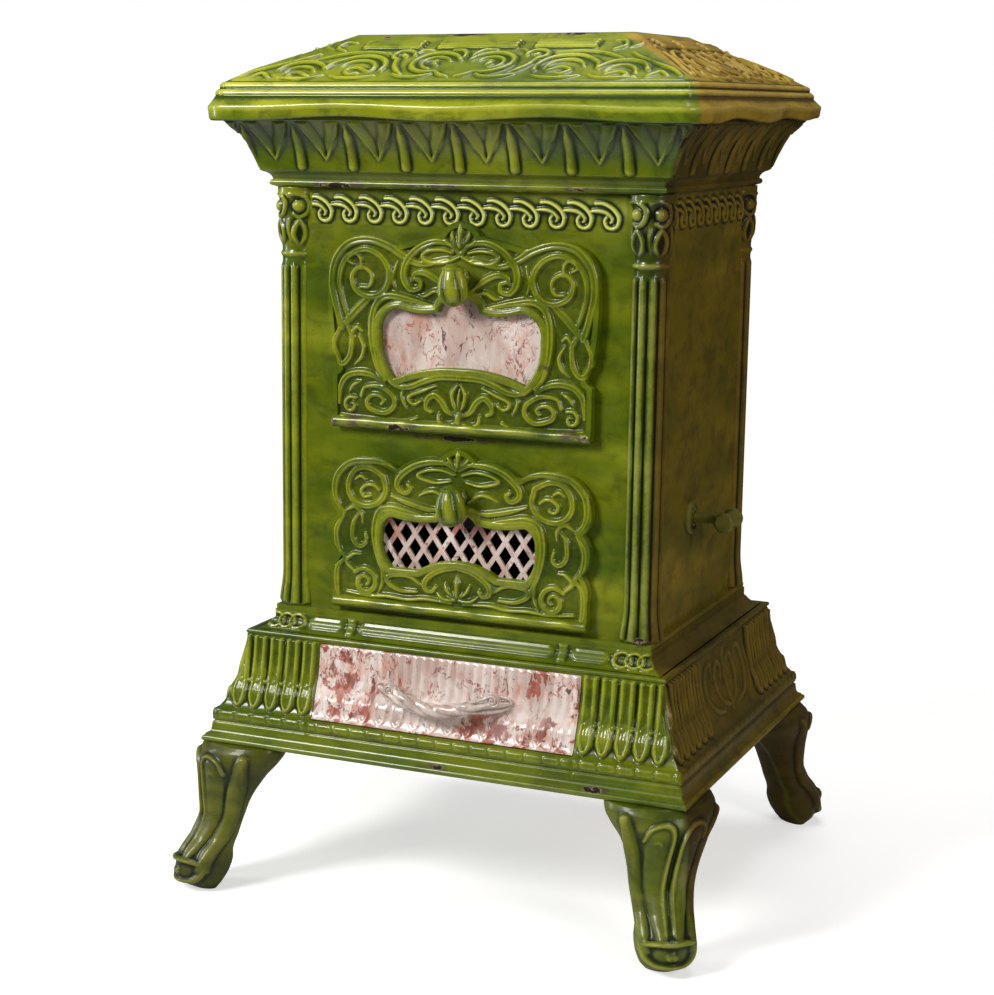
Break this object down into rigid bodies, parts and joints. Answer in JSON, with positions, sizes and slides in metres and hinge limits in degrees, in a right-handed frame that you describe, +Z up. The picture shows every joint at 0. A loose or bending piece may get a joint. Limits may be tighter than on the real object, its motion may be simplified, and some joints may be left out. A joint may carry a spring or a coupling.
{
  "type": "stove",
  "caption": "Enamelled cast-iron room stove on cabriole legs with two relief doors, ash drawer, shaker grate, flared cornice and hipped lid",
  "frame": {"origin": "middle of the footprint, on the floor under the feet", "axes": "+Z up, the doors and the ash drawer face -Y, +X is to the right seen from the front"},
  "size_m": [0.5414, 0.5144, 0.8418],
  "materials": {
    "green_enamel": "mottled glossy green majolica enamel on cast iron",
    "marbled_enamel": "glossy off-white enamel marbled with brick red",
    "bare_iron": "bare sooty cast iron",
    "fireclay": "rough fireclay",
    "dark_steel": "dark oiled steel"
  },
  "bodies": {
    "stove": {"foot_front_left": "green_enamel", "foot_front_right": "green_enamel", "foot_back_left": "green_enamel", "foot_back_right": "green_enamel", "foot_bolts": "dark_steel", "foot_nuts": "dark_steel", "base_plate": "green_enamel", "plinth_front": "green_enamel", "plinth_back": "green_enamel", "plinth_left": "green_enamel", "plinth_right": "green_enamel", "plinth_centre_strip": "green_enamel", "sole_plate": "green_enamel", "column_front_left": "green_enamel", "column_front_right": "green_enamel", "column_back_left": "green_enamel", "column_back_right": "green_enamel", "tie_rods": "dark_steel", "tie_rod_nuts": "dark_steel", "front_plate": "green_enamel", "left_plate": "green_enamel", "right_plate": "green_enamel", "back_plate": "green_enamel", "flue_collar": "bare_iron", "flue_flange": "bare_iron", "flue_bolts": "dark_steel", "drawer_runners": "bare_iron", "grate_frame": "bare_iron", "shaker_escutcheon": "bare_iron", "firebrick_left": "fireclay", "firebrick_right": "fireclay", "firebrick_front": "fireclay", "firebrick_rear": "fireclay", "cornice": "green_enamel", "hot_plate": "bare_iron"},
    "upper_door": {"upper_door": "green_enamel", "upper_door_insert": "marbled_enamel", "upper_door_pull": "green_enamel", "upper_door_pins": "dark_steel", "upper_door_catch": "dark_steel", "upper_door_screws": "dark_steel"},
    "lower_door": {"lower_door": "green_enamel", "lower_door_lattice": "marbled_enamel", "lower_door_pull": "green_enamel", "lower_door_pins": "dark_steel", "lower_door_catch": "dark_steel"},
    "ash_drawer": {"ash_drawer_front": "marbled_enamel", "ash_drawer_tray": "dark_steel", "ash_drawer_handle": "marbled_enamel", "ash_drawer_screws": "dark_steel"},
    "grate": {"rocking_grate": "bare_iron", "shaker_shaft": "dark_steel", "shaker_collar": "bare_iron", "shaker_handle": "bare_iron"},
    "lid": {"lid": "green_enamel", "lid_hinge_leaves": "bare_iron", "lid_pins": "dark_steel"},
    "loading_plug": {"loading_plug": "bare_iron"}
  },
  "joints": [
    {"name": "upper_door_hinge", "type": "hinge", "parent": "stove", "child": "upper_door", "pos_m": [0, -0.1506, 0.472], "axis": [1, 0, 0], "range_deg": [0, 90]},
    {"name": "lower_door_hinge", "type": "hinge", "parent": "stove", "child": "lower_door", "pos_m": [0, -0.1506, 0.2916], "axis": [1, 0, 0], "range_deg": [0, 90]},
    {"name": "ash_drawer_slide", "type": "slide", "parent": "stove", "child": "ash_drawer", "axis": [0, -1, 0], "range_m": [0, 0.2]},
    {"name": "grate_rock", "type": "hinge", "parent": "stove", "child": "grate", "pos_m": [0, -0.028, 0.382], "axis": [1, 0, 0], "range_deg": [-20, 20]},
    {"name": "lid_hinge", "type": "hinge", "parent": "stove", "child": "lid", "pos_m": [0, 0.214, 0.769], "axis": [-1, 0, 0], "range_deg": [0, 95]},
    {"name": "loading_plug_lift", "type": "slide", "parent": "stove", "child": "loading_plug", "axis": [0, 0, 1], "range_m": [0, 0.025]}
  ]
}
